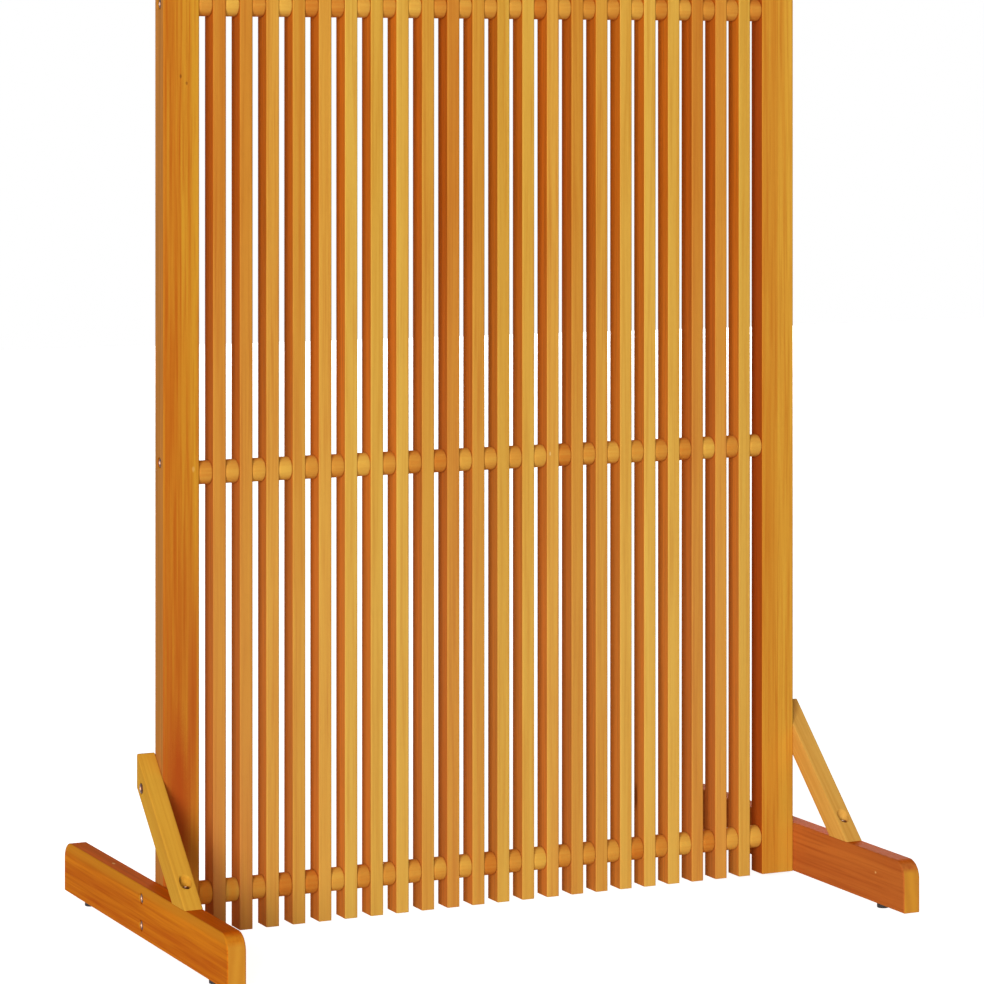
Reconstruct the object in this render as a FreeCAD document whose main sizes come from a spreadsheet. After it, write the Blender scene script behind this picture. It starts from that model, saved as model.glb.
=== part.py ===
import FreeCAD, Part
import os
import Sketcher

# A garden privacy screen: upright slats and round spacers strung on steel rods between two posts,
# standing on two cross feet with a diagonal brace and two screw-in glides each.
# Frame: origin on the ground under the middle of the screen, +X to the right, -Y to the front, +Z up.
# Every number below is a driving dimension in millimetres, unless its name says otherwise.

SIZES = {
    # slats, posts and the rows of spacers between them
    "slat_count": 22,
    "slat_thickness": 16,
    "panel_depth": 28,
    "post_width": 44,
    "spacer_length": 17,
    "spacer_diameter": 27.5,
    "edge_ease": 1,
    # heights of the four rows, from the slats' lower ends
    "row_overhang": 45,
    "outer_row_gap": 485,
    "middle_row_gap": 540,
    # rods and their round nuts
    "rod_diameter": 6,
    "rod_clearance": 0.25,
    "rod_blind_depth": 24,
    "rod_end_room": 1,
    "sleeve_diameter": 8,
    "sleeve_clearance": 0.2,
    "sleeve_length": 12,
    # heads and the recesses that they sit in
    "head_diameter": 12,
    "head_height": 3,
    "recess_diameter": 13,
    "recess_depth": 3.5,
    # feet
    "foot_thickness": 22,
    "foot_height": 60,
    "foot_length": 545,
    "foot_corner_radius": 20,
    # braces
    "brace_thickness": 22,
    "brace_width": 29,
    "brace_angle_degrees": 43.5,
    "brace_reach": 128.5,
    # screws
    "screw_diameter": 5,
    "screw_clearance": 0.15,
    "screw_length": 52,
    "foot_screw_drop": 31,
    "post_screw_rise": 13,
    "post_screw_length": 34,
    "brace_bolt_height": 111,
    "brace_bolt_length": 48,
    "brace_recess_depth": 2,
    "pocket_diameter": 14,
    "pocket_setback": 27.5,
    "pocket_floor_height": 18,
    "pocket_head_diameter": 9,
    "pocket_head_height": 2.5,
    "pocket_screw_length": 46,
    # glides and the insert nuts that they turn in
    "glide_diameter": 14,
    "glide_height": 6.2,
    "glide_ease": 1,
    "glide_gap": 0.3,
    "glide_inset": 65,
    "glide_travel": 8,
    "stud_diameter": 6,
    "stud_clearance": 0.06,
    "stud_length": 17.5,
    "stud_end_room": 3,
    "insert_diameter": 10,
    "insert_length": 13,
}

# How many flats stand for a round outline: on the glides' pads, on the many spacers, rods and heads, on
# shanks and inserts inside the wood, and in the bores that nothing shows.
PAD_SIDES = 24
ROUND_SIDES = 16
SHANK_SIDES = 6
HIDDEN_SIDES = 4

doc = FreeCAD.newDocument("garden_privacy_screen")
sheet = doc.addObject("Spreadsheet::Sheet", "sizes")
for row, (name, value) in enumerate(SIZES.items(), start=1):
    sheet.set(f"A{row}", name)
    sheet.set(f"B{row}", str(value))
    sheet.setAlias(f"B{row}", name)
doc.recompute()

# Sizes and places that follow from the driving dimensions, as expressions on the sheet.
PITCH = "(sizes.slat_thickness + sizes.spacer_length)"
INNER_WIDTH = f"(sizes.slat_count * {PITCH} + sizes.spacer_length)"
HALF_INNER = f"({INNER_WIDTH} / 2)"
HALF_PANEL = f"({HALF_INNER} + sizes.post_width)"
HALF_DEPTH = "(sizes.panel_depth / 2)"
PANEL_BASE = "(sizes.glide_height + sizes.glide_gap)"
FOOT_TOP = f"({PANEL_BASE} + sizes.foot_height)"
ROW_HEIGHTS = {
    "bottom": "sizes.row_overhang",
    "lower": "(sizes.row_overhang + sizes.outer_row_gap)",
    "upper": "(sizes.row_overhang + sizes.outer_row_gap + sizes.middle_row_gap)",
    "top": "(sizes.row_overhang + 2 * sizes.outer_row_gap + sizes.middle_row_gap)",
}
PANEL_HEIGHT = f"({ROW_HEIGHTS['top']} + sizes.row_overhang)"
ROD_BORE = "(sizes.rod_diameter + 2 * sizes.rod_clearance)"
SLEEVE_BORE = "(sizes.sleeve_diameter + 2 * sizes.sleeve_clearance)"
SLEEVE_BORE_DEPTH = "(sizes.recess_depth + sizes.sleeve_length)"
SCREW_BORE = "(sizes.screw_diameter + 2 * sizes.screw_clearance)"
INSERT_BORE = "(sizes.stud_diameter + 2 * sizes.stud_clearance)"
FOOT_SCREW_HEIGHT = "(sizes.row_overhang - sizes.foot_screw_drop)"
POST_SCREW_HEIGHT = f"({ROW_HEIGHTS['lower']} + sizes.post_screw_rise)"
BRACE_SLOPE = "tan(sizes.brace_angle_degrees)"
BRACE_TOE = f"({HALF_DEPTH} + sizes.brace_reach)"
POCKET_PLACE = f"(-{BRACE_TOE} + sizes.pocket_setback)"
GLIDE_SPREAD = "(sizes.foot_length / 2 - sizes.glide_inset)"
STUD_ROOM_DIAMETER = "(sizes.stud_diameter + 2 * sizes.glide_gap)"
STUD_ROOM_DEPTH = "(sizes.stud_length - sizes.glide_gap + sizes.stud_end_room)"

LEFT, RIGHT = -1, 1
SIDE_NAMES = {LEFT: "left", RIGHT: "right"}
FRONT, REAR = -1, 1
END_NAMES = {FRONT: "front", REAR: "rear"}
ALONG_X = FreeCAD.Rotation(FreeCAD.Vector(0, 1, 0), 90)
ALONG_Z = FreeCAD.Rotation()

nodes = []


def new_body(label, x="0", y="0", z="0"):
    """An empty body whose own origin lies at x, y, z."""
    body = doc.addObject("PartDesign::Body", label)
    body.Label = label
    move(body, x, y, z)
    return body


def move(thing, x, y, z):
    thing.setExpression(".Placement.Base.x", x)
    thing.setExpression(".Placement.Base.y", y)
    thing.setExpression(".Placement.Base.z", z)


def origin_feature(body, role):
    return next(f for f in body.Origin.OriginFeatures if f.Role == role)


def outline(body, plane, corners):
    """A closed outline of straight lines on one of the body's planes; a corner is a pair of expressions."""
    sketch = body.newObject("Sketcher::SketchObject", "outline")
    sketch.AttachmentSupport = [(origin_feature(body, plane), "")]
    sketch.MapMode = "FlatFace"
    points = [FreeCAD.Vector(sketch.evalExpression(u), sketch.evalExpression(v), 0) for u, v in corners]
    for start, end in zip(points, points[1:] + points[:1]):
        sketch.addGeometry(Part.LineSegment(start, end))
    for index, (u, v) in enumerate(corners):
        following = (index + 1) % len(corners)
        sketch.addConstraint(Sketcher.Constraint("Coincident", index, 2, following, 1))
        for axis, place, expression in (("X", points[index].x, u), ("Y", points[index].y, v)):
            number = sketch.addConstraint(Sketcher.Constraint(f"Distance{axis}", -1, 1, index, 1, place))
            sketch.renameConstraint(number, f"corner_{index}_{axis.lower()}")
            sketch.setExpression(f"Constraints.corner_{index}_{axis.lower()}", expression)
    return sketch


def pad(body, sketch, length, symmetric=False):
    feature = body.newObject("PartDesign::Pad", "pad")
    feature.Profile = sketch
    feature.SideType = "Symmetric" if symmetric else "One side"
    feature.setExpression("Length", length)
    sketch.Visibility = False
    doc.recompute()
    return feature


def ease(body, wanted, size="sizes.edge_ease", kind="Chamfer"):
    """Takes the corner off the tip's edges for which wanted(edge) is true."""
    base = body.Tip
    names = [f"Edge{number}" for number, edge in enumerate(base.Shape.Edges, start=1) if wanted(edge)]
    feature = body.newObject(f"PartDesign::{kind}", kind.lower())
    feature.Base = (base, names)
    feature.setExpression("Radius" if kind == "Fillet" else "Size", size)
    doc.recompute()


def along(edge, axis):
    """Whether the edge is straight and runs along one axis, given as X, Y or Z."""
    spans = (edge.BoundBox.XLength, edge.BoundBox.YLength, edge.BoundBox.ZLength)
    wanted = "XYZ".index(axis)
    return all(span < 1e-6 for number, span in enumerate(spans) if number != wanted)


def rod_shape(body, cuts, diameter, length, start, rotation=ALONG_X, sides=0):
    """A round bar or bore from start (three expressions) along X or Z; sides gives it flats, across which
    a bore keeps the whole diameter and a bar's flats lie just inside and outside it."""
    family = "Prism" if sides else "Cylinder"
    feature = body.newObject(f"PartDesign::{'Subtractive' if cuts else 'Additive'}{family}", family.lower())
    if sides:
        feature.Polygon = sides
        widening = f"cos({180 / sides})" if cuts else f"((1 + cos({180 / sides})) / 2)"
        feature.setExpression("Circumradius", f"{diameter} / 2 / {widening}")
    else:
        feature.setExpression("Radius", f"{diameter} / 2")
    feature.setExpression("Height", length)
    feature.Placement = FreeCAD.Placement(FreeCAD.Vector(), rotation)
    move(feature, *start)
    return feature


def bore(body, diameter, length, start, rotation=ALONG_X, sides=0):
    return rod_shape(body, True, diameter, length, start, rotation, sides)


def bar(body, diameter, length, start, rotation=ALONG_X, sides=0):
    return rod_shape(body, False, diameter, length, start, rotation, sides)


def from_outside(side, face, depth):
    """Where a length of this depth starts along X, if it goes inwards from an outer face."""
    return f"(-{face})" if side == LEFT else f"({face} - {depth})"


def keep(thing, label=None):
    """Counts an object as one sub-part of the screen."""
    if label:
        thing.Label = label
    nodes.append(thing)
    return thing


# Slats, numbered from the left ------------------------------------------------------------------------

def slat(number):
    middle = f"-{HALF_INNER} + {number} * {PITCH} - sizes.slat_thickness / 2"
    body = new_body(f"slat_{number:02d}", x=middle, z=PANEL_BASE)
    half = "sizes.slat_thickness / 2"
    sketch = outline(body, "XY_Plane", [(f"-{half}", f"-{HALF_DEPTH}"), (half, f"-{HALF_DEPTH}"),
                                        (half, HALF_DEPTH), (f"-{half}", HALF_DEPTH)])
    pad(body, sketch, PANEL_HEIGHT)
    ease(body, lambda edge: along(edge, "Z"))
    for height in ROW_HEIGHTS.values():
        bore(body, ROD_BORE, "sizes.slat_thickness", (f"-{half}", "0", height), sides=HIDDEN_SIDES)
    keep(body)


# A row of spacers, one in each gap between the posts and slats -------------------------------------------

def spacer_row(row_name, height):
    body = new_body(f"spacers_{row_name}", x=f"-{HALF_INNER}", z=f"{PANEL_BASE} + {height}")
    spacer = bar(body, "sizes.spacer_diameter", "sizes.spacer_length", ("0", "0", "0"), sides=ROUND_SIDES)
    bore(body, ROD_BORE, "sizes.spacer_length", ("0", "0", "0"), sides=HIDDEN_SIDES)
    doc.recompute()
    pattern = body.newObject("PartDesign::LinearPattern", "row")
    pattern.Originals = [spacer, body.Tip]
    pattern.Direction = (origin_feature(body, "X_Axis"), [""])
    pattern.setExpression("Length", f"sizes.slat_count * {PITCH}")
    pattern.setExpression("Occurrences", "sizes.slat_count + 1")
    body.Tip = pattern
    keep(body)


# Steel rods: through the posts, and at the bottom through the feet too; the lower one ends in blind bores ---

def rod_reach(row_name):
    """How far the rod reaches to each side of the middle."""
    if row_name == "lower":
        return f"({HALF_INNER} + sizes.rod_blind_depth - sizes.rod_end_room)"
    return f"({nut_seat(row_name)} - sizes.rod_end_room)"


def nut_seat(row_name):
    """How far out the floor of the nut's recess lies."""
    if row_name == "bottom":
        return f"({HALF_PANEL} + sizes.foot_thickness - sizes.recess_depth)"
    return f"({HALF_PANEL} - sizes.recess_depth)"


def rod(row_name, height):
    body = new_body(f"rod_{row_name}", z=f"{PANEL_BASE} + {height}")
    reach = rod_reach(row_name)
    bar(body, "sizes.rod_diameter", f"2 * {reach}", (f"-{reach}", "0", "0"), sides=ROUND_SIDES)
    keep(body)


def rod_nut(side, row_name):
    """A nut with a round head and a sleeve that takes the rod's end, closed on the outside."""
    seat = nut_seat(row_name)
    body = new_body(f"rod_nut_{row_name}_{SIDE_NAMES[side]}", z=f"{PANEL_BASE} + {ROW_HEIGHTS[row_name]}")
    head_start = from_outside(side, f"({seat} + sizes.head_height)", "sizes.head_height")
    bar(body, "sizes.head_diameter", "sizes.head_height", (head_start, "0", "0"), sides=ROUND_SIDES)
    start = from_outside(side, seat, "sizes.sleeve_length")
    bar(body, "sizes.sleeve_diameter", "sizes.sleeve_length", (start, "0", "0"), sides=SHANK_SIDES)
    bore(body, "sizes.rod_diameter", "sizes.sleeve_length", (start, "0", "0"), sides=SHANK_SIDES)
    return body


def rod_nuts(side):
    group = doc.addObject("Part::Compound", f"rod_nuts_{SIDE_NAMES[side]}")
    group.Links = [rod_nut(side, row_name) for row_name in ("bottom", "upper", "top")]
    keep(group, f"rod_nuts_{SIDE_NAMES[side]}")


# Posts ----------------------------------------------------------------------------------------------------

def post(side):
    half = "(sizes.post_width / 2)"
    body = new_body(f"{SIDE_NAMES[side]}_post", x=f"{side} * ({HALF_INNER} + {half})", z=PANEL_BASE)
    sketch = outline(body, "XY_Plane", [(f"-{half}", f"-{HALF_DEPTH}"), (half, f"-{HALF_DEPTH}"),
                                        (half, HALF_DEPTH), (f"-{half}", HALF_DEPTH)])
    pad(body, sketch, PANEL_HEIGHT)
    ease(body, lambda edge: along(edge, "Z"))
    for row_name, height in ROW_HEIGHTS.items():
        if row_name == "lower":
            inner_start = f"({half} - sizes.rod_blind_depth)" if side == LEFT else f"(-{half})"
            bore(body, ROD_BORE, "sizes.rod_blind_depth", (inner_start, "0", height), sides=HIDDEN_SIDES)
        else:
            bore(body, ROD_BORE, "sizes.post_width", (f"-{half}", "0", height), sides=HIDDEN_SIDES)
    for height in (ROW_HEIGHTS["upper"], ROW_HEIGHTS["top"], POST_SCREW_HEIGHT):
        start = from_outside(side, half, "sizes.recess_depth")
        bore(body, "sizes.recess_diameter", "sizes.recess_depth", (start, "0", height), sides=ROUND_SIDES)
    for height in (ROW_HEIGHTS["upper"], ROW_HEIGHTS["top"]):
        start = from_outside(side, half, SLEEVE_BORE_DEPTH)
        bore(body, SLEEVE_BORE, SLEEVE_BORE_DEPTH, (start, "0", height), sides=HIDDEN_SIDES)
    post_screw_depth = "(sizes.recess_depth + sizes.post_screw_length)"
    foot_screw_depth = "(sizes.recess_depth + sizes.screw_length - sizes.foot_thickness)"
    brace_bolt_depth = "(sizes.brace_recess_depth + sizes.brace_bolt_length - sizes.brace_thickness)"
    for depth, height in ((post_screw_depth, POST_SCREW_HEIGHT), (foot_screw_depth, FOOT_SCREW_HEIGHT),
                          (brace_bolt_depth, "(sizes.foot_height + sizes.brace_bolt_height)")):
        start = from_outside(side, half, depth)
        bore(body, SCREW_BORE, depth, (start, "0", height), sides=HIDDEN_SIDES)
    insert_start = from_outside(side, half, "sizes.insert_length")
    bore(body, "sizes.insert_diameter", "sizes.insert_length",
         (insert_start, "0", "(sizes.foot_height + sizes.brace_bolt_height)"), sides=SHANK_SIDES)
    keep(body)


# Feet -------------------------------------------------------------------------------------------------------

def foot(side):
    half = "(sizes.foot_thickness / 2)"
    body = new_body(f"{SIDE_NAMES[side]}_foot", x=f"{side} * ({HALF_PANEL} + {half})", z=PANEL_BASE)
    reach = "(sizes.foot_length / 2)"
    sketch = outline(body, "YZ_Plane", [(f"-{reach}", "0"), (reach, "0"),
                                        (reach, "sizes.foot_height"), (f"-{reach}", "sizes.foot_height")])
    pad(body, sketch, "sizes.foot_thickness", symmetric=True)
    top = body.Shape.BoundBox.ZMax - body.Placement.Base.z
    ease(body, lambda edge: along(edge, "X") and edge.BoundBox.ZMin > top - 1e-6,
         "sizes.foot_corner_radius", "Fillet")
    ease(body, lambda edge: not along(edge, "X"))
    bore(body, ROD_BORE, "sizes.foot_thickness", (f"-{half}", "0", "sizes.row_overhang"), sides=HIDDEN_SIDES)
    bore(body, SCREW_BORE, "sizes.foot_thickness", (f"-{half}", "0", FOOT_SCREW_HEIGHT), sides=HIDDEN_SIDES)
    for height in ("sizes.row_overhang", FOOT_SCREW_HEIGHT):
        start = from_outside(side, half, "sizes.recess_depth")
        bore(body, "sizes.recess_diameter", "sizes.recess_depth", (start, "0", height), sides=ROUND_SIDES)
    sleeve_start = from_outside(side, half, SLEEVE_BORE_DEPTH)
    bore(body, SLEEVE_BORE, SLEEVE_BORE_DEPTH, (sleeve_start, "0", "sizes.row_overhang"), sides=HIDDEN_SIDES)
    pilot_depth = "(sizes.pocket_screw_length - sizes.pocket_floor_height)"
    bore(body, SCREW_BORE, pilot_depth, ("0", POCKET_PLACE, f"(sizes.foot_height - {pilot_depth})"),
         ALONG_Z, HIDDEN_SIDES)
    for end in (FRONT, REAR):
        place = f"{end} * {GLIDE_SPREAD}"
        bore(body, "sizes.insert_diameter", "sizes.insert_length", ("0", place, "0"), ALONG_Z, SHANK_SIDES)
        bore(body, STUD_ROOM_DIAMETER, STUD_ROOM_DEPTH, ("0", place, "0"), ALONG_Z, HIDDEN_SIDES)
    keep(body)


# Braces: sawn level on the foot and plumb along the post's rear -------------------------------------------

def brace(side):
    half = "(sizes.brace_thickness / 2)"
    body = new_body(f"{SIDE_NAMES[side]}_brace", x=f"{side} * ({HALF_PANEL} + {half})", z=FOOT_TOP)
    heel = f"(-{BRACE_TOE} + sizes.brace_width / sin(sizes.brace_angle_degrees))"
    rear_low = f"(({HALF_DEPTH} - {heel}) * {BRACE_SLOPE})"
    rear_high = f"(({HALF_DEPTH} + {BRACE_TOE}) * {BRACE_SLOPE})"
    sketch = outline(body, "YZ_Plane", [(f"-{BRACE_TOE}", "0"), (heel, "0"),
                                        (HALF_DEPTH, rear_low), (HALF_DEPTH, rear_high)])
    pad(body, sketch, "sizes.brace_thickness", symmetric=True)
    ease(body, lambda edge: not along(edge, "X") and not along(edge, "Y") and not along(edge, "Z"))
    bolt_start = from_outside(side, half, "sizes.brace_recess_depth")
    bore(body, "sizes.recess_diameter", "sizes.brace_recess_depth",
         (bolt_start, "0", "sizes.brace_bolt_height"), sides=ROUND_SIDES)
    bore(body, SCREW_BORE, "sizes.brace_thickness",
         (f"-{half}", "0", "sizes.brace_bolt_height"), sides=HIDDEN_SIDES)
    bore(body, "sizes.pocket_diameter", rear_high, ("0", POCKET_PLACE, "sizes.pocket_floor_height"), ALONG_Z)
    bore(body, SCREW_BORE, "sizes.pocket_floor_height", ("0", POCKET_PLACE, "0"), ALONG_Z, HIDDEN_SIDES)
    keep(body)


# Screws and bolts: a round head, and a shank that the wood takes -----------------------------------------

def side_screw(label, side, seat, length, height):
    """A screw driven inwards along X; seat is how far out its head's underside lies."""
    body = new_body(label, z=height)
    head_start = from_outside(side, f"({seat} + sizes.head_height)", "sizes.head_height")
    bar(body, "sizes.head_diameter", "sizes.head_height", (head_start, "0", "0"), sides=ROUND_SIDES)
    bar(body, "sizes.screw_diameter", length, (from_outside(side, seat, length), "0", "0"), sides=SHANK_SIDES)
    keep(body)


def pocket_screw(side):
    """The screw that goes straight down from the brace's pocket into the foot."""
    body = new_body(f"brace_screw_{SIDE_NAMES[side]}", y=POCKET_PLACE,
                    x=f"{side} * ({HALF_PANEL} + sizes.brace_thickness / 2)",
                    z=f"({FOOT_TOP} + sizes.pocket_floor_height)")
    bar(body, "sizes.pocket_head_diameter", "sizes.pocket_head_height", ("0", "0", "0"), ALONG_Z, ROUND_SIDES)
    bar(body, "sizes.screw_diameter", "sizes.pocket_screw_length", ("0", "0", "-sizes.pocket_screw_length"),
        ALONG_Z, SHANK_SIDES)
    keep(body)


def brace_insert(side):
    """The threaded insert in the post that the brace's bolt turns in."""
    body = new_body(f"brace_insert_{SIDE_NAMES[side]}", z=f"({FOOT_TOP} + sizes.brace_bolt_height)")
    start = from_outside(side, HALF_PANEL, "sizes.insert_length")
    bar(body, "sizes.insert_diameter", "sizes.insert_length", (start, "0", "0"), sides=SHANK_SIDES)
    bore(body, SCREW_BORE, "sizes.insert_length", (start, "0", "0"), sides=HIDDEN_SIDES)
    keep(body)


def screws(side):
    name = SIDE_NAMES[side]
    foot_seat = f"({HALF_PANEL} + sizes.foot_thickness - sizes.recess_depth)"
    post_seat = f"({HALF_PANEL} - sizes.recess_depth)"
    brace_seat = f"({HALF_PANEL} + sizes.brace_thickness - sizes.brace_recess_depth)"
    side_screw(f"foot_screw_{name}", side, foot_seat, "sizes.screw_length",
               f"{PANEL_BASE} + {FOOT_SCREW_HEIGHT}")
    side_screw(f"post_screw_{name}", side, post_seat, "sizes.post_screw_length",
               f"{PANEL_BASE} + {POST_SCREW_HEIGHT}")
    side_screw(f"brace_bolt_{name}", side, brace_seat, "sizes.brace_bolt_length",
               f"{FOOT_TOP} + sizes.brace_bolt_height")
    pocket_screw(side)


# Glides and their insert nuts ----------------------------------------------------------------------------

def glide(side, end):
    """A round pad, eased around the sole, on a threaded stud that is screwed right in."""
    name = f"{END_NAMES[end]}_{SIDE_NAMES[side]}"
    x = f"{side} * ({HALF_PANEL} + sizes.foot_thickness / 2)"
    y = f"{end} * {GLIDE_SPREAD}"
    pad_body = new_body(f"glide_{name}", x=x, y=y)
    bar(pad_body, "sizes.glide_diameter", "sizes.glide_height", ("0", "0", "0"), ALONG_Z, PAD_SIDES)
    doc.recompute()
    ease(pad_body, lambda edge: edge.BoundBox.ZMax < 1e-6, "sizes.glide_ease")
    keep(pad_body)
    stud = new_body(f"glide_stud_{name}", x=x, y=y, z="sizes.glide_height")
    bar(stud, "sizes.stud_diameter", "sizes.stud_length", ("0", "0", "0"), ALONG_Z, ROUND_SIDES)
    keep(stud)


def insert_nuts(side):
    """The threaded inserts pressed into one foot's underside."""
    body = new_body(f"insert_nuts_{SIDE_NAMES[side]}", y=f"-{GLIDE_SPREAD}", z=PANEL_BASE,
                    x=f"{side} * ({HALF_PANEL} + sizes.foot_thickness / 2)")
    shell = bar(body, "sizes.insert_diameter", "sizes.insert_length", ("0", "0", "0"), ALONG_Z, SHANK_SIDES)
    bore(body, INSERT_BORE, "sizes.insert_length", ("0", "0", "0"), ALONG_Z, ROUND_SIDES)
    doc.recompute()
    pattern = body.newObject("PartDesign::LinearPattern", "pair")
    pattern.Originals = [shell, body.Tip]
    pattern.Direction = (origin_feature(body, "Y_Axis"), [""])
    pattern.setExpression("Length", f"2 * {GLIDE_SPREAD}")
    pattern.Occurrences = 2
    body.Tip = pattern
    keep(body)


def build():
    for number in range(1, SIZES["slat_count"] + 1):
        slat(number)
    for row_name, height in ROW_HEIGHTS.items():
        spacer_row(row_name, height)
        rod(row_name, height)
    for side in (LEFT, RIGHT):
        post(side)
        foot(side)
        brace(side)
        rod_nuts(side)
        screws(side)
        brace_insert(side)
        insert_nuts(side)
        for end in (FRONT, REAR):
            glide(side, end)
    doc.recompute()


def check():
    """Stops before anything is written if an object failed or a sub-part isn't sound."""
    failed = [thing.Name for thing in doc.Objects if "Invalid" in thing.State or "Error" in thing.State]
    unsound = [thing.Label for thing in nodes if thing.Shape.isNull() or not thing.Shape.isValid()]
    if failed or unsound:
        raise RuntimeError(f"failed: {failed}, unsound: {unsound}")


def write():
    os.makedirs("parts", exist_ok=True)
    for thing in nodes:
        thing.Shape.exportStep(os.path.join("parts", f"{thing.Label}.step"))
        print(thing.Label, len(thing.Shape.Solids), round(thing.Shape.Volume))


build()
check()
write()
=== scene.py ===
import bpy
import math
import random
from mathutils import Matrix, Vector


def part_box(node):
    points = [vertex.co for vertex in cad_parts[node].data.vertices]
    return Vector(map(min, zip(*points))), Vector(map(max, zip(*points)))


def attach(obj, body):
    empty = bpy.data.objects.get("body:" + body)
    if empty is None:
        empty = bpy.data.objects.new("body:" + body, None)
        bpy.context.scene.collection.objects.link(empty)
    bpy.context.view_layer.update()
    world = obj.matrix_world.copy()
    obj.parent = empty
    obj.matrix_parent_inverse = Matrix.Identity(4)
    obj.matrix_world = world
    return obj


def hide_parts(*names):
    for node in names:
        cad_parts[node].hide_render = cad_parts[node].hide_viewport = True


# Looks for the garden privacy screen, in metres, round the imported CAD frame.
# The CAD wood, rods and inserts stay as they are and get their materials here. Spacers, heads, glides and
# studs, which the frame draws with few flats, are replaced by round ones of the same size in the same place.

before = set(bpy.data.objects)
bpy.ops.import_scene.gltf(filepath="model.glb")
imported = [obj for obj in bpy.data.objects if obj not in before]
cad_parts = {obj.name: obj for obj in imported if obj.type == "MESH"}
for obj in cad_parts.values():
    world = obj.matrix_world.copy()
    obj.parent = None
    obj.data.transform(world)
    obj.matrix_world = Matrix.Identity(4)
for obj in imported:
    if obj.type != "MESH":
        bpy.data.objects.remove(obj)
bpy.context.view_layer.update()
random.seed(7)

BODY = "screen"
MM = 0.001
PITCH = 33 * MM                 # from one slat to the next
SPACERS_IN_ROW = 23
ROWS = ("bottom", "lower", "upper", "top")
SIDES = ((-1, "left"), (1, "right"))
ROUND = 2 * math.pi


# Material tools -----------------------------------------------------------------------------------------

def linear(rgb):
    """A colour given as 0-255 display values, for a shader."""
    out = []
    for c in rgb:
        c = c / 255
        out.append(c / 12.92 if c <= 0.04045 else ((c + 0.055) / 1.055) ** 2.4)
    return (*out, 1.0)


def darker(rgb, share):
    return linear([c * share for c in rgb])


def paler(rgb, share, more):
    return linear([min(255, c * share + more) for c in rgb])


class Tree:
    """A short way to add and link the shader nodes of a material or world."""

    def __init__(self, owner, output="ShaderNodeOutputMaterial"):
        owner.use_nodes = True
        self.owner = owner
        self.nodes = owner.node_tree.nodes
        self.links = owner.node_tree.links
        self.nodes.clear()
        self.out = self.add(output)

    def put(self, socket, value):
        """Links a node's output to a socket, or sets the socket to a plain value."""
        if isinstance(value, bpy.types.NodeSocket):
            self.links.new(value, socket)
        else:
            socket.default_value = value

    def add(self, kind, inputs=None, **settings):
        node = self.nodes.new(kind)
        for key, value in settings.items():
            setattr(node, key, value)
        for key, value in (inputs or {}).items():
            self.put(node.inputs[key], value)
        return node

    def math(self, operation, a, b, clamp=False):
        return self.add("ShaderNodeMath", {0: a, 1: b}, operation=operation, use_clamp=clamp).outputs[0]

    def times(self, a, b):
        return self.math("MULTIPLY", a, b)

    def plus(self, a, b, clamp=False):
        return self.math("ADD", a, b, clamp)

    def without(self, a, b):
        return self.math("SUBTRACT", a, b)

    def vector(self, operation, a, b):
        return self.add("ShaderNodeVectorMath", {0: a, 1: b}, operation=operation).outputs[0]

    def part(self, vector, axis):
        """One coordinate of a vector."""
        return self.add("ShaderNodeSeparateXYZ", {0: vector}).outputs["XYZ".index(axis)]

    def rotated(self, vector, angle):
        """A vector turned about X."""
        return self.add("ShaderNodeVectorRotate", {"Vector": vector, "Angle": angle},
                        rotation_type="X_AXIS").outputs[0]

    def mix(self, factor, a, b):
        return self.add("ShaderNodeMix", {0: factor, 6: a, 7: b}, data_type="RGBA").outputs[2]

    def ramp(self, value, low, high):
        """0 at low and 1 at high, held beyond them. Low may be the larger one."""
        return self.add("ShaderNodeMapRange", {0: value, 1: low, 2: high, 3: 0.0, 4: 1.0}).outputs[0]

    def place(self):
        """Where a point is, in the screen's own metres: every piece's object sits at the origin."""
        return self.add("ShaderNodeTexCoord").outputs["Object"]

    def noise(self, vector, scale, detail, rough, w, distortion=0.0):
        inputs = {"Vector": vector, "W": w, "Scale": scale, "Detail": detail, "Roughness": rough,
                  "Distortion": distortion}
        return self.add("ShaderNodeTexNoise", inputs, noise_dimensions="4D").outputs[0]

    def eased(self, radius):
        """The normal with rounded edges, and how far it leans away from the flat one."""
        bevel = self.add("ShaderNodeBevel", {"Radius": radius}, samples=6).outputs[0]
        flat = self.add("ShaderNodeNewGeometry").outputs["Normal"]
        lean = self.add("ShaderNodeVectorMath", {0: bevel, 1: flat}, operation="DOT_PRODUCT").outputs["Value"]
        return bevel, self.without(1.0, lean)

    def background_ray(self):
        """1 for a ray that shows the background: from the camera, a reflection or through glass."""
        ray = self.add("ShaderNodeLightPath").outputs
        other = self.math("MAXIMUM", ray["Is Glossy Ray"], ray["Is Transmission Ray"])
        return self.math("MAXIMUM", ray["Is Camera Ray"], other)

    def finish(self, colour, roughness, height, depth, edge, specular, metallic=0.0):
        bump = self.add("ShaderNodeBump", {"Height": height, "Distance": depth, "Strength": 1.0,
                                           "Normal": edge})
        shader = self.add("ShaderNodeBsdfPrincipled",
                          {"Base Color": colour, "Roughness": roughness, "Normal": bump.outputs[0],
                           "Metallic": metallic, "Specular IOR Level": specular})
        self.links.new(shader.outputs[0], self.out.inputs[0])
        return self.owner


# how the noise is stretched along the grain, and the pores' own stretch on top of that
STRETCH = {"X": (0.045, 1.0, 1.0), "Y": (1.0, 0.025, 1.0), "Z": (1.0, 1.0, 0.02)}
STRETCH_PORES = {"X": (3.0, 1.0, 1.0), "Y": (1.0, 3.0, 1.0), "Z": (1.0, 1.0, 3.0)}
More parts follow.
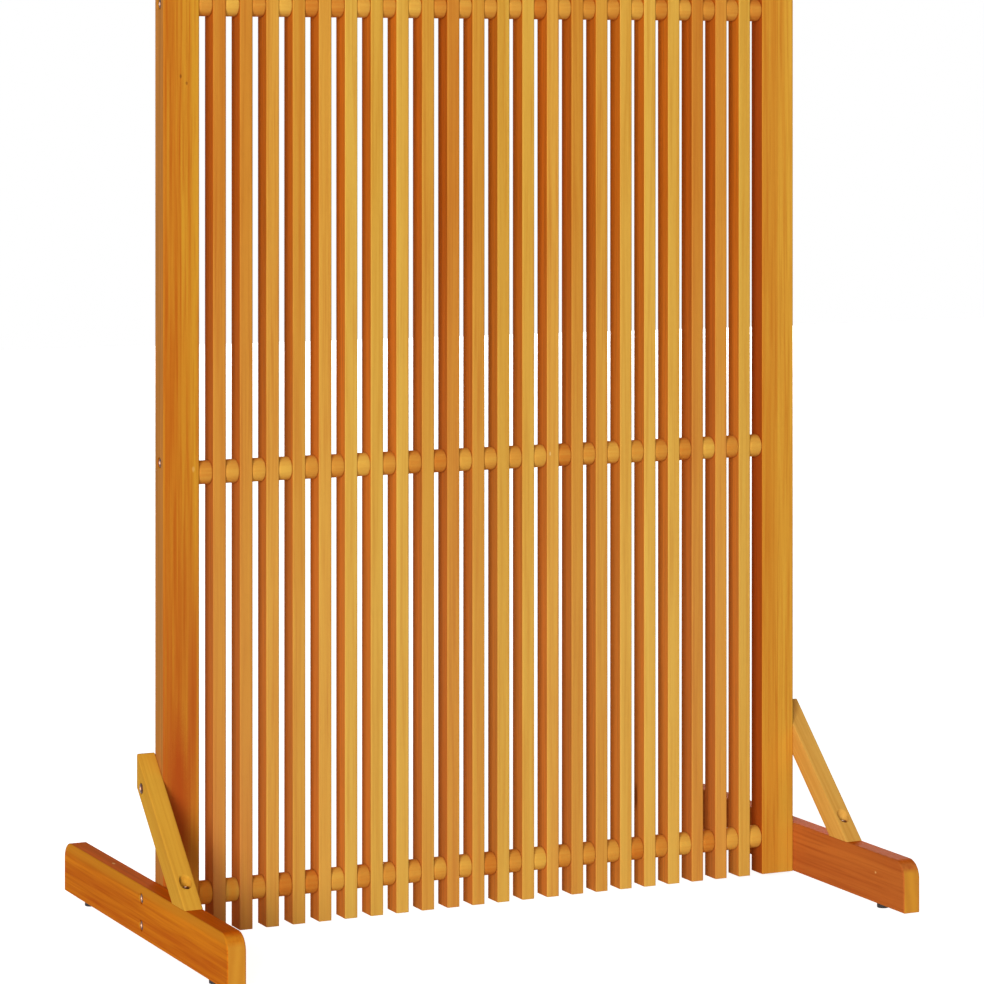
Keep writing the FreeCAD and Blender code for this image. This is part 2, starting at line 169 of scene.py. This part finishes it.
# noise cells per metre across the grain, in each layer of the figure
SLOW, BANDS, LINES, FIBRES, PORES = 22.0, 105.0, 330.0, 900.0, 1500.0
END_RINGS = 22.0                # growth rings on a sawn end
SEED_STEP = 3.7                 # noise space between two boards' seeds
RING_SEED_STEP = 31.0           # the same for the rows of spacers
RING_BORDER = 8.5 * PITCH       # puts the borders between the spacers' numbers in the middle of the slats
RING_SHIFT = (0.37, 0.19)       # how far each spacer's figure is moved, along X and Y
TONE_LOW = (0.49, 0.44)         # where the summed layers are the light tone: a base and a share of the figure
TONE_HIGH = (0.81, 0.56)        # the same for the dark tone
HEART = (0.90, 0.78, 0.66)      # dark heartwood, as shares of a board's dark tone
GLUE_LINE = 0.2 * MM            # half the width of the change between two strips
BOARD_EDGE = 1.2 * MM
SPACER_EDGE = 0.8 * MM
FLOOR_BOUNCE_PAINT = ((0.85, 0.35), (249, 206, 122))      # painted light bounced up from the floor, paler towards the bottom: heights where it starts and is full, and its colour
WOOD_SPECULAR = 0.008           # low, so that the white surroundings don't veil the oiled wood's colour
WOOD_ROUGHNESS = (0.48, 0.24)   # a base and a share of the fibres
WOOD_RELIEF = 0.1 * MM

METAL_CLOUD, METAL_SCRATCH = 260.0, 3000.0   # noise cells per metre
METAL_EDGE = 0.4 * MM
METAL_RELIEF = 0.02 * MM
PLASTIC_GRAIN, PLASTIC_SCUFF = 2600.0, 240.0
PLASTIC_EDGE = 0.5 * MM
PLASTIC_RELIEF = 0.04 * MM


class Grain:
    """The layers of a wood's figure: each is a value from 0 to 1 at every point. Each has a place of its own
    in the noise, so that no two layers look alike."""

    def __init__(self, t, place, along, seed):
        long = t.vector("MULTIPLY", place, STRETCH[along])
        w = seed * SEED_STEP
        self.slow = t.noise(long, SLOW, 2.0, 0.5, w)
        self.bands = t.noise(long, BANDS, 2.0, 0.5, w + 1.3, 0.3)
        self.lines = t.noise(long, LINES, 2.0, 0.5, w + 3.1, 0.2)
        self.fibres = t.noise(long, FIBRES, 3.0, 0.6, w + 2.1)
        pores = t.noise(t.vector("MULTIPLY", long, STRETCH_PORES[along]), PORES, 1.0, 0.5, w + 5.0)
        self.pore = t.ramp(pores, 0.60, 0.72)

    def tone(self, t, figure):
        """Where a point lies between a board's light and dark tone; figure is how strong the bands are."""
        total = t.plus(t.times(self.slow, 0.8), t.times(self.bands, figure))
        total = t.plus(total, t.times(self.lines, 0.5))
        return t.ramp(total, TONE_LOW[0] + TONE_LOW[1] * figure, TONE_HIGH[0] + TONE_HIGH[1] * figure)


def spot(t, place, centre, radii, colour, under, strength):
    """A soft-edged patch on the wood, an ellipsoid in the screen's own metres: a mark such as a knot, or
    painted shade.
    """
    away = t.vector("DIVIDE", t.vector("SUBTRACT", place, centre), radii)
    ragged = t.times(t.noise(place, FIBRES, 2.0, 0.5, 4.0), 0.5)
    length = t.add("ShaderNodeVectorMath", {0: away}, operation="LENGTH").outputs["Value"]
    outside = t.ramp(t.plus(length, ragged), 0.7, 1.25)
    return t.mix(t.times(t.without(1.0, outside), strength), under, linear(colour))


def sawn_end(t, place, facing, along, pale, dark, under):
    """Smooth end grain with faint arcs of the growth rings, on the faces across the grain."""
    end = t.ramp(t.math("ABSOLUTE", t.part(facing, along), 0.0), 0.80, 0.95)
    rings = t.add("ShaderNodeTexWave", {"Vector": place, "Scale": END_RINGS, "Distortion": 2.0, "Detail": 2.0,
                                        "Detail Scale": 1.5}, wave_type="RINGS", rings_direction=along)
    colour = t.mix(t.times(rings.outputs["Fac"], 0.25), linear(pale), darker(dark, 0.92))
    return t.mix(end, under, colour)


def wood(name, light, dark, along, seed, figure, streaks, fibre=0.2, edge_radius=BOARD_EDGE, rotate=0.0,
         end_light=None, per_ring=False, strips=None, flank=None, upper=None, sap=None, low_tone=None,
         faded=0.0, spots=()):
    """Oiled hardwood whose grain runs along one axis.

    light, dark: its two tones. figure, streaks, fibre: how strong the bands, dark lines and fibres are.
    rotate: the turn about X that brings the grain onto its axis. end_light: the tone of sawn ends.
    per_ring: each spacer of a row has its own tone. strips: x of the glue line between two strips.
    flank, upper: tones of the faces across X and of the top faces. Both are painted shade, darker and redder,
    and the faces across X also get painted warm bounce light from between the boards.
    sap: a paler band of sapwood along the upper edge, as (height, colour).
    low_tone: a redder lower end, partly the wood's own tone and partly painted shade, as (height where it
    starts, height where it is full, colour).
    faded: how strong the pale painted light bounced up from the floor is on the lower half. spots: marks, and
    patches of painted shade, each as (centre, radii, colour, strength).
    """
    t = Tree(bpy.data.materials.new(name))
    plain = t.place()
    facing = t.add("ShaderNodeTexCoord").outputs["Normal"]
    height = t.part(plain, "Z")
    place = t.rotated(plain, rotate) if rotate else plain
    if per_ring:
        number = t.math("FLOOR", t.math("DIVIDE", t.plus(t.part(plain, "X"), RING_BORDER), PITCH), 0.0)
        key = t.plus(number, seed * RING_SEED_STEP)
        ring_tone = t.add("ShaderNodeTexWhiteNoise", {"W": key}, noise_dimensions="1D").outputs["Value"]
        shift_x, shift_y = t.times(key, RING_SHIFT[0]), t.times(key, RING_SHIFT[1])
        shift = t.add("ShaderNodeCombineXYZ", {0: shift_x, 1: shift_y})
        place = t.vector("ADD", place, shift.outputs[0])

    grain = Grain(t, place, along, seed)
    tone = grain.tone(t, figure)
    if per_ring:
        tone = t.plus(t.times(tone, 0.35), t.times(ring_tone, 0.75), clamp=True)
    if strips is not None:
        strip = t.ramp(t.part(plain, "X"), strips - GLUE_LINE, strips + GLUE_LINE)
        tone = t.plus(tone, t.times(t.without(0.5, strip), 0.5), clamp=True)
    colour = t.mix(tone, linear(light), linear(dark))
    # a redder lower end: partly the wood's own tone, partly painted shade where the brace and foot shade the
    # boards
    if low_tone is not None:
        start, full, low_colour = low_tone
        lower = t.ramp(t.plus(height, t.times(grain.slow, 0.25)), start, full)
        colour = t.mix(t.times(lower, t.ramp(grain.bands, 0.12, 0.66)), colour, linear(low_colour))
    heart = [c * share for c, share in zip(dark, HEART)]
    colour = t.mix(t.times(t.ramp(grain.lines, 0.50, 0.74), streaks), colour, linear(heart))
    colour = t.mix(t.times(t.ramp(grain.fibres, 0.55, 0.8), fibre), colour, linear(heart))
    colour = t.mix(t.times(grain.pore, 0.10), colour, darker(heart, 0.85))

    # painted shade and warm bounce light: the faces across X get a darker, redder colour of their own
    if flank is not None:
        is_flank = t.ramp(t.math("ABSOLUTE", t.part(facing, "X"), 0.0), 0.75, 0.95)
        deep = t.mix(tone, linear(flank), darker(flank, 0.86))
        deep = t.mix(t.times(t.ramp(grain.lines, 0.5, 0.75), 0.5), deep, darker(flank, 0.78))
        colour = t.mix(is_flank, colour, deep)
    # painted light: the lower half is mixed towards a pale colour, as if bounced up from the white floor
    if faded:
        (start, full), faded_colour = FLOOR_BOUNCE_PAINT
        colour = t.mix(t.times(t.ramp(height, start, full), faded), colour, linear(faded_colour))
    if sap is not None:
        sap_height, sap_colour = sap
        wavy = t.plus(height, t.times(grain.bands, 0.008))
        band = t.times(t.ramp(wavy, sap_height - 0.004, sap_height + 0.003), t.ramp(grain.slow, 0.30, 0.62))
        colour = t.mix(band, colour, linear(sap_colour))
    # painted shade: the top faces get a darker, redder colour, as the light falls mostly from the front
    if upper is not None:
        deep = t.mix(tone, linear(upper), darker(upper, 0.84))
        colour = t.mix(t.ramp(t.part(facing, "Z"), 0.80, 0.97), colour, deep)
    for centre, radii, spot_colour, strength in spots:
        colour = spot(t, plain, centre, radii, spot_colour, colour, strength)
    turned_facing = t.rotated(facing, rotate) if rotate else facing
    colour = sawn_end(t, place, turned_facing, along, end_light or light, dark, colour)

    # the oil is worn a little paler along the eased edges
    edge, lean = t.eased(edge_radius)
    wear = t.times(t.times(t.ramp(lean, 0.01, 0.16), 0.35), t.ramp(grain.fibres, 0.3, 0.7))
    colour = t.mix(wear, colour, paler(light, 1.06, 4))
    roughness = t.plus(WOOD_ROUGHNESS[0], t.times(grain.fibres, WOOD_ROUGHNESS[1]))
    relief = t.without(t.times(grain.fibres, 0.6), t.times(grain.pore, 0.5))
    return t.finish(colour, roughness, relief, WOOD_RELIEF, edge, WOOD_SPECULAR)


def metal(name, colour, dark, rough, seed, inner=None):
    """Plated steel: uneven tone, fine scratches and a worn rim. Inner is the colour of the sockets: uncoated
    metal, painted near white as a highlight in the head's centre.
    """
    t = Tree(bpy.data.materials.new(name))
    place = t.place()
    cloud = t.noise(place, METAL_CLOUD, 4.0, 0.6, seed)
    scratch = t.noise(t.vector("MULTIPLY", place, (1.0, 0.12, 1.0)), METAL_SCRATCH, 3.0, 0.6, seed + 2)
    base = t.mix(t.ramp(cloud, 0.35, 0.7), linear(colour), linear(dark))
    edge, lean = t.eased(METAL_EDGE)
    base = t.mix(t.times(t.ramp(lean, 0.01, 0.2), 0.5), base, paler(colour, 1.3, 20))
    if inner is not None:
        # the sockets: uncoated metal, painted near white as a highlight in the head's centre
        bare_and_highlight = t.add("ShaderNodeAttribute", attribute_name="bare_and_highlight").outputs["Fac"]
        base = t.mix(bare_and_highlight, base, linear(inner))
    roughness = t.plus(rough, t.times(scratch, 0.2))
    return t.finish(base, roughness, scratch, METAL_RELIEF, edge, specular=0.5, metallic=1.0)


def plastic(name, colour, seed):
    """Black moulded plastic with a fine matt grain and scuffs."""
    t = Tree(bpy.data.materials.new(name))
    place = t.place()
    grain = t.noise(place, PLASTIC_GRAIN, 3.0, 0.6, seed)
    scuff = t.noise(place, PLASTIC_SCUFF, 4.0, 0.65, seed + 3)
    base = t.mix(t.times(t.ramp(scuff, 0.5, 0.75), 0.4), linear(colour), paler(colour, 1, 26))
    edge, _ = t.eased(PLASTIC_EDGE)
    roughness = t.plus(0.38, t.times(scuff, 0.3))
    return t.finish(base, roughness, grain, PLASTIC_RELIEF, edge, specular=0.4)


def paint(obj, material):
    obj.data.materials.clear()
    obj.data.materials.append(material)


# Geometry tools -----------------------------------------------------------------------------------------

CLOSED = 0.01                   # radius in mm at which a turned form closes on its own axis
CORNER_STEPS = 4
SHARP = 35                      # degrees between two faces from which their edge is drawn sharp


def middle(node):
    low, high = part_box(node)
    return (low + high) / 2


def sleeve(rows, segments):
    """Faces between rows of points, each row once round."""
    faces = []
    for row in range(rows - 1):
        for k in range(segments):
            n = (k + 1) % segments
            here, above = row * segments, (row + 1) * segments
            faces.append((here + k, here + n, above + n, above + k))
    return faces


def turned(profile, origin, axis, segments):
    """Vertices and faces of a turned form: profile is (radius, distance along axis) pairs in mm."""
    axis = Vector(axis).normalized()
    side = axis.orthogonal().normalized()
    other = axis.cross(side)
    verts = []
    for radius, along in profile:
        for k in range(segments):
            a = ROUND * k / segments
            out = side * math.cos(a) + other * math.sin(a)
            verts.append(Vector(origin) + MM * (axis * along + radius * out))
    return verts, sleeve(len(profile), segments)


def corner(radius, along, size, start):
    """Points of a quarter round of one size: centre (radius, along), from angle start in degrees."""
    angles = [math.radians(start + 90 * k / CORNER_STEPS) for k in range(CORNER_STEPS + 1)]
    return [(radius + size * math.cos(a), along + size * math.sin(a)) for a in angles]


def shape(name, groups, material, body, replaced, sharp=SHARP, bare_and_highlight=None):
    """One object from several (verts, faces) groups. It rides on a CAD body and replaces a node."""
    verts, faces = [], []
    for more_verts, more_faces in groups:
        base = len(verts)
        verts += more_verts
        faces += [tuple(base + i for i in f) for f in more_faces]
    mesh = bpy.data.meshes.new(name)
    mesh.from_pydata([tuple(v) for v in verts], [], faces)
    mesh.validate()
    mesh.update()
    if bare_and_highlight is not None:
        mesh.attributes.new("bare_and_highlight", "FLOAT", "POINT").data.foreach_set("value", bare_and_highlight)
    mesh.polygons.foreach_set("use_smooth", [True] * len(mesh.polygons))
    mesh.set_sharp_from_angle(angle=math.radians(sharp))
    obj = bpy.data.objects.new(name, mesh)
    bpy.context.scene.collection.objects.link(obj)
    paint(obj, material)
    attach(obj, body)
    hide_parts(replaced)


# Boards -------------------------------------------------------------------------------------------------

LIGHT = {"pale": (225, 178, 76), "middle": (220, 163, 65), "red": (215, 148, 55)}
DARK = {"pale": (215, 158, 60), "middle": (209, 139, 51), "red": (203, 126, 45)}
# painted shade and warm bounce light on the slats' faces across X
FLANK_AND_SHADE = {"pale": (217, 122, 30), "middle": (212, 115, 28), "red": (207, 107, 24)}
SLAT_TONES = ("red red middle middle middle pale pale pale middle red middle pale pale middle middle middle "
              "pale pale pale red red pale").split()
TONE_SPREAD = 4                 # how far a slat's tone strays from its kind's, each way
SHADED_LOW_SLATS = (1, 2)              # the slats whose lower ends, in the shadow of the left brace and foot, get a redder painted shade
# that painted shade: heights where it starts and is full, and its colour
LOW_SLAT_SHADE = (0.42, 0.22, (202, 120, 54))
# how strong the painted floor bounce light is on the slats
SLAT_FLOOR_BOUNCE = 0.11
POST_SEED, FOOT_SEED, BRACE_SEED, SPACER_SEED = 40, 50, 60, 70      # a slat's seed is its number

FOOT_TONES = {"left": ((227, 136, 28), (198, 96, 18)), "right": ((204, 116, 48), (184, 95, 40))}
FOOT_SAP = {"left": (0.0595, (214, 138, 34)), "right": None}
FOOT_END = (214, 147, 48)
# painted shade on the feet's top faces
FOOT_TOP_SHADE = (222, 104, 12)
BRACE_TONES = {"left": ((226, 168, 58), (212, 146, 46)), "right": ((232, 179, 86), (214, 149, 60))}
BRACE_ANGLE = math.radians(43.5)             # from the foot up to the post
POST_TONES = {"left": ((212, 150, 44), (196, 108, 28)), "right": ((222, 164, 58), (208, 134, 42))}
# painted shade and bounce light on the posts' faces across X
POST_FLANK_AND_SHADE = {"left": (216, 140, 64), "right": (204, 96, 24)}
# the left post's lower end: a redder tone of its wood, and painted shade beside the brace
POST_LOW_AND_SHADE = {"left": (0.66, 0.34, (184, 88, 32)), "right": None}

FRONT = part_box("slat_01")[0].y               # the front faces of slats and posts
BRACE_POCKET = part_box("brace_screw_left")[0].y
# marks of single boards, and patches of painted shade and shadow: centre and radii in metres, colour,
# strength
SPOTS = {
    "left_post": (((-0.3944, FRONT, 0.9935), (0.0016, 0.004, 0.0030), (120, 60, 20), 0.7),
                  ((-0.3871, FRONT, 0.9855), (0.0018, 0.004, 0.0026), (128, 64, 22), 0.6),
                  ((-0.3788, FRONT, 0.5420), (0.0022, 0.004, 0.0040), (226, 176, 92), 0.6),
                  # painted shadow of the left brace on the post's lower end
                  ((-0.3960, FRONT, 0.1500), (0.0160, 0.004, 0.1300), (176, 72, 24), 0.75)),
    # painted shade inside the screw pocket
    "left_brace": (((-0.4308, BRACE_POCKET + 0.0045, 0.0910), (0.0034, 0.009, 0.013), (104, 56, 16), 0.85),),
    "slat_14": (((0.0784, FRONT, 0.5400), (0.0012, 0.003, 0.0030), (236, 200, 130), 0.8),),
    "slat_18": (((0.2065, 0.0080, 0.1126), (0.004, 0.0045, 0.0200), (92, 36, 8), 0.7),),
    "left_foot": (((-0.4265, 0.1250, 0.0665), (0.0020, 0.0050, 0.003), (240, 196, 120), 0.8),),
    "right_foot": (((0.4155, -0.2090, 0.0430), (0.003, 0.0022, 0.0016), (240, 196, 120), 0.8),),
}


def board(node, material_name, tones, along, seed, **look):
    """Paints a board's CAD node with a wood of its own, and with the marks that belong to it."""
    paint(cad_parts[node], wood(material_name, *tones, along, seed, spots=SPOTS.get(node, ()), **look))


for number, tone in enumerate(SLAT_TONES, start=1):
    jitter = random.uniform(-TONE_SPREAD, TONE_SPREAD)
    tones = [[c + jitter for c in LIGHT[tone]], [c + jitter for c in DARK[tone]]]
    board(f"slat_{number:02d}", f"slat_wood_{number:02d}", tones, "Z", number, figure=0.45, streaks=0.35,
          flank=FLANK_AND_SHADE[tone], faded=SLAT_FLOOR_BOUNCE,
          low_tone=LOW_SLAT_SHADE if number in SHADED_LOW_SLATS else None)

for side, name in SIDES:
    board(f"{name}_post", f"post_wood_{name}", POST_TONES[name], "Z", POST_SEED + side, figure=0.8,
          streaks=0.45, strips=middle(f"{name}_post").x, low_tone=POST_LOW_AND_SHADE[name], flank=POST_FLANK_AND_SHADE[name])
    board(f"{name}_foot", f"foot_wood_{name}", FOOT_TONES[name], "Y", FOOT_SEED + side, figure=0.9,
          streaks=0.35, fibre=0.12, end_light=FOOT_END, sap=FOOT_SAP[name], upper=FOOT_TOP_SHADE)
    board(f"{name}_brace", f"brace_wood_{name}", BRACE_TONES[name], "Y", BRACE_SEED + side, figure=0.5,
          streaks=0.10, fibre=0.08, rotate=-BRACE_ANGLE)

# Round spacers ------------------------------------------------------------------------------------------

SPACER_WIDTH, SPACER_RADIUS, SPACER_BORE, SPACER_ROUND = 17.0, 13.75, 3.3, 2.2
SPACER = ([(SPACER_BORE, 0)]
          + corner(SPACER_RADIUS - SPACER_ROUND, SPACER_ROUND, SPACER_ROUND, -90)
          + corner(SPACER_RADIUS - SPACER_ROUND, SPACER_WIDTH - SPACER_ROUND, SPACER_ROUND, 0)
          + [(SPACER_BORE, SPACER_WIDTH), (SPACER_BORE, 0)])
SPACER_TONES = ((232, 180, 76), (206, 120, 40))
SPACER_SEGMENTS = 40


def painted_shade_spacers(first):
    """Painted shade that covers the first two spacers of a row, a redder colour where the left brace shades
    them, given the middle of the first.
    """
    second = first + Vector((PITCH, 0, 0))
    return ((tuple(first), (0.020, 0.022, 0.022), (246, 138, 32), 0.9),
            (tuple(second), (0.010, 0.022, 0.022), (234, 144, 42), 0.8))


for count, row in enumerate(ROWS):
    node = f"spacers_{row}"
    start = middle(node)
    start.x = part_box(node)[0].x
    rings = [turned(SPACER, start + Vector((PITCH * k, 0, 0)), (1, 0, 0), SPACER_SEGMENTS)
             for k in range(SPACERS_IN_ROW)]
    first = start + Vector((SPACER_WIDTH / 2 * MM, 0, 0))
    spacer_wood = wood(f"spacer_wood_{row}", *SPACER_TONES, "X", SPACER_SEED + count, figure=0.5,
                       streaks=0.05, fibre=0.06, edge_radius=SPACER_EDGE, per_ring=True,
                       spots=painted_shade_spacers(first) if row == "bottom" else ())
    shape(f"round_{node}", rings, spacer_wood, BODY, node)

# Steel --------------------------------------------------------------------------------------------------

ZINC = metal("zinc_plate", (176, 178, 180), (140, 142, 146), 0.28, 3)
# the sockets' near-white colour is a painted highlight
DARK_STEEL = metal("dark_plate", (112, 68, 46), (62, 36, 26), 0.26, 5, inner=(250, 222, 200))
HEAD_SEGMENTS = 36
SCREW_HEAD = {"radius": 6.0, "height": 3.0, "socket": 1.9}
POCKET_HEAD = {"radius": 4.5, "height": 2.5, "socket": 1.6}
SCREW_SHANK, POCKET_SHANK = 2.5, 2.2
DOME_START, DOME_STEPS = 0.35, 6             # share of a head's height where its dome starts
SOCKET_BEVEL, BEVEL_DEPTH = 0.4, 0.25        # across the bevel round the socket, and down it
SOCKET_WALL, SOCKET_DEPTH, SOCKET_TAPER = 1.8, 2.0, 0.96
NUT_HEAD_HEIGHT, NUT_RADIUS, NUT_LENGTH = SCREW_HEAD["height"], 4.0, 12.0
NUT_SUNK = 0.5 * MM             # how deep the sleeve nuts' heads sit in the wood
NUT_CARRIERS = {"bottom": "foot", "upper": "post", "top": "post"}

for row in ROWS:
    paint(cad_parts[f"rod_{row}"], ZINC)
for side, name in SIDES:
    paint(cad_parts[f"insert_nuts_{name}"], ZINC)
    paint(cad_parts[f"brace_insert_{name}"], ZINC)


def head(radius, height, socket, shank_radius, shank):
    """Profile of a button head with a round socket, and its shank behind it, in mm.
    Distances run outwards from the underside of the head."""
    rim = socket + SOCKET_BEVEL
    straight = DOME_START * height
    dome = [(radius, 0), (radius, straight)]
    for k in range(1, DOME_STEPS):
        a = math.radians(90 * k / DOME_STEPS)
        dome.append((rim + (radius - rim) * math.cos(a), straight + (height - straight) * math.sin(a)))
    behind = [(CLOSED, -shank), (shank_radius, -shank), (shank_radius, 0)]
    hollow = [(socket, height - BEVEL_DEPTH), (socket * SOCKET_TAPER, height - SOCKET_WALL),
              (CLOSED, height - SOCKET_DEPTH)]
    return behind + dome + [(rim, height)] + hollow


def bare_socket_and_highlight(profile, count=1):
    """For each point of a number of turned heads: 1 in the socket, uncoated metal with a painted highlight,
    and 0 elsewhere.
    """
    inside = 3 * HEAD_SEGMENTS
    return ([0.0] * (HEAD_SEGMENTS * len(profile) - inside) + [1.0] * inside) * count


def round_head(node, outward, radius, height, socket, shank_radius):
    """A button head and shank in place of a node's faceted ones. The node's box gives its place."""
    axis = Vector(outward)
    low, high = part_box(node)
    length = abs((high - low).dot(axis))
    seat = (low + high) / 2 + axis * (length / 2 - height * MM)
    profile = head(radius, height, socket, shank_radius, length / MM - height)
    shape(f"round_{node}", [turned(profile, seat, axis, HEAD_SEGMENTS)], DARK_STEEL, BODY, node,
          bare_and_highlight=bare_socket_and_highlight(profile))


NUT = head(**SCREW_HEAD, shank_radius=NUT_RADIUS, shank=NUT_LENGTH)
for side, name in SIDES:
    outward = (side, 0, 0)
    for kind in ("foot_screw", "post_screw", "brace_bolt"):
        round_head(f"{kind}_{name}", outward, **SCREW_HEAD, shank_radius=SCREW_SHANK)
    round_head(f"brace_screw_{name}", (0, 0, 1), **POCKET_HEAD, shank_radius=POCKET_SHANK)
    # the three sleeve nuts of one side are one node
    nuts = []
    for row, carrier in NUT_CARRIERS.items():
        low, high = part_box(f"{name}_{carrier}")
        outer = high.x if side > 0 else low.x
        seat_x = outer - side * (NUT_SUNK + NUT_HEAD_HEIGHT * MM)
        seat = Vector((seat_x, middle(f"rod_nuts_{name}").y, middle(f"spacers_{row}").z))
        nuts.append(turned(NUT, seat, outward, HEAD_SEGMENTS))
    shape(f"round_rod_nuts_{name}", nuts, DARK_STEEL, BODY, f"rod_nuts_{name}",
          bare_and_highlight=bare_socket_and_highlight(NUT, len(nuts)))

# Glides -------------------------------------------------------------------------------------------------

BLACK = plastic("glide_black", (20, 20, 21), 9)
PAD_RADIUS, PAD_HEIGHT, SOLE_ROUND, PAD_ROUND = 7.0, 6.2, 1.0, 0.8
PAD_SEGMENTS = 64
PAD = ([(CLOSED, 0)]
       + corner(PAD_RADIUS - SOLE_ROUND, SOLE_ROUND, SOLE_ROUND, -90)
       + [(PAD_RADIUS, PAD_HEIGHT - 2 * PAD_ROUND)]
       + corner(PAD_RADIUS - PAD_ROUND, PAD_HEIGHT - PAD_ROUND, PAD_ROUND, 0)
       + [(CLOSED, PAD_HEIGHT)])
STUD_RADIUS, THREAD_DEPTH, THREAD_PITCH = 3.0, 0.5, 1.0
THREAD_STEPS = 6                # rows of points in one turn
THREAD_SEGMENTS = 24
THREAD_SHARP = 60


def thread(origin, radius, depth, pitch, length):
    """A helical V thread along +Z on a plain core, closed at both ends, in mm. It runs out at the top."""
    segments = THREAD_SEGMENTS
    steps = round(length / (pitch / THREAD_STEPS))
    verts = []
    for row in range(steps + 1):
        along = length * row / steps
        full = min(1.0, (length - along) / pitch)
        for k in range(segments):
            a = ROUND * k / segments
            crest = abs(2 * ((along / pitch - k / segments) % 1.0) - 1)
            r = radius - depth * (1 - crest) * full - (1 - full) * depth
            verts.append(Vector(origin) + MM * Vector((r * math.cos(a), r * math.sin(a), along)))
    faces = sleeve(steps + 1, segments)
    faces.append(tuple(reversed(range(segments))))
    faces.append(tuple(range(steps * segments, (steps + 1) * segments)))
    return verts, faces


for end in ("front", "rear"):
    for side, name in SIDES:
        pad, stud = f"glide_{end}_{name}", f"glide_stud_{end}_{name}"
        body = f"{end}_{name}_glide"
        sole = middle(pad)
        sole.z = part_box(pad)[0].z
        shape(f"round_{pad}", [turned(PAD, sole, (0, 0, 1), PAD_SEGMENTS)], BLACK, body, pad)
        low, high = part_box(stud)
        threaded = thread((sole.x, sole.y, low.z), STUD_RADIUS, THREAD_DEPTH, THREAD_PITCH,
                          (high.z - low.z) / MM)
        shape(f"thread_{end}_{name}", [threaded], ZINC, body, stud, sharp=THREAD_SHARP)

# Studio -------------------------------------------------------------------------------------------------

WHITE = (1.0, 1.0, 1.0, 1.0)
BLACK_LIGHT = (0.0, 0.0, 0.0, 1.0)
FLOOR_PAINT = (0.80, 0.80, 0.80, 1.0)
FLOOR_GLOW = 0.86               # with the lamps' light on it, the floor then shows as white
FLOOR_HALF = 9.0
WORLD_LIGHT = 0.21              # what the white surroundings add to the lamps

corners = [(x * FLOOR_HALF, y * FLOOR_HALF, 0) for x, y in ((-1, -1), (1, -1), (1, 1), (-1, 1))]
mesh = bpy.data.meshes.new("floor")
mesh.from_pydata(corners, [], [(0, 1, 2, 3)])
floor = bpy.data.objects.new("floor", mesh)
bpy.context.scene.collection.objects.link(floor)
t = Tree(bpy.data.materials.new("floor_white"))
lit = t.add("ShaderNodeBsdfDiffuse", {"Color": FLOOR_PAINT}).outputs[0]
glow = t.add("ShaderNodeEmission", {"Color": WHITE, "Strength": FLOOR_GLOW}).outputs[0]
none = t.add("ShaderNodeEmission", {"Color": BLACK_LIGHT, "Strength": 0.0}).outputs[0]
chosen = t.add("ShaderNodeMixShader", {0: t.background_ray(), 1: none, 2: glow}).outputs[0]
both = t.add("ShaderNodeAddShader", {0: lit, 1: chosen}).outputs[0]
t.links.new(both, t.out.inputs[0])
paint(floor, t.owner)

world = bpy.data.worlds.new("studio")
bpy.context.scene.world = world
t = Tree(world, "ShaderNodeOutputWorld")
strength = t.add("ShaderNodeMapRange", {0: t.background_ray(), 3: WORLD_LIGHT, 4: 1.0}).outputs[0]
background = t.add("ShaderNodeBackground", {0: WHITE, 1: strength}).outputs[0]
t.links.new(background, t.out.inputs[0])


def lamp(name, place, target, size, power):
    """A soft rectangular lamp that points at a target."""
    data = bpy.data.lights.new(name, "AREA")
    data.shape = "RECTANGLE"
    data.size, data.size_y = size
    data.energy = power
    obj = bpy.data.objects.new(name, data)
    obj.location = place
    obj.rotation_euler = (Vector(target) - Vector(place)).to_track_quat("-Z", "Y").to_euler()
    bpy.context.scene.collection.objects.link(obj)


lamp("key", (-8.0, -9.2, 2.9), (0, 0, 0.75), (5.5, 5.5), 1240)
lamp("fill", (2.4, -6.0, 1.4), (0, 0, 0.8), (3.0, 2.4), 40)
lamp("back", (7.6, 9.0, 2.4), (0, 0, 0.75), (5.5, 5.5), 760)

# the camera looks level, and the photograph shows the part of its view below the horizon
CAMERA_PLACE = (-1.8471, -3.9041, 0.9805)
CAMERA_TURN = math.radians(-25.41)
CAMERA_LENS = 131.95
SENSOR_WIDTH = 36.0
CAMERA_SHIFT = -0.411

camera_data = bpy.data.cameras.new("camera")
camera_data.lens = CAMERA_LENS
camera_data.sensor_width = SENSOR_WIDTH
camera_data.shift_y = CAMERA_SHIFT
camera = bpy.data.objects.new("camera", camera_data)
camera.location = CAMERA_PLACE
camera.rotation_euler = (math.radians(90), 0, CAMERA_TURN)
bpy.context.scene.collection.objects.link(camera)
bpy.context.scene.camera = camera
bpy.context.scene.view_settings.view_transform = "Standard"
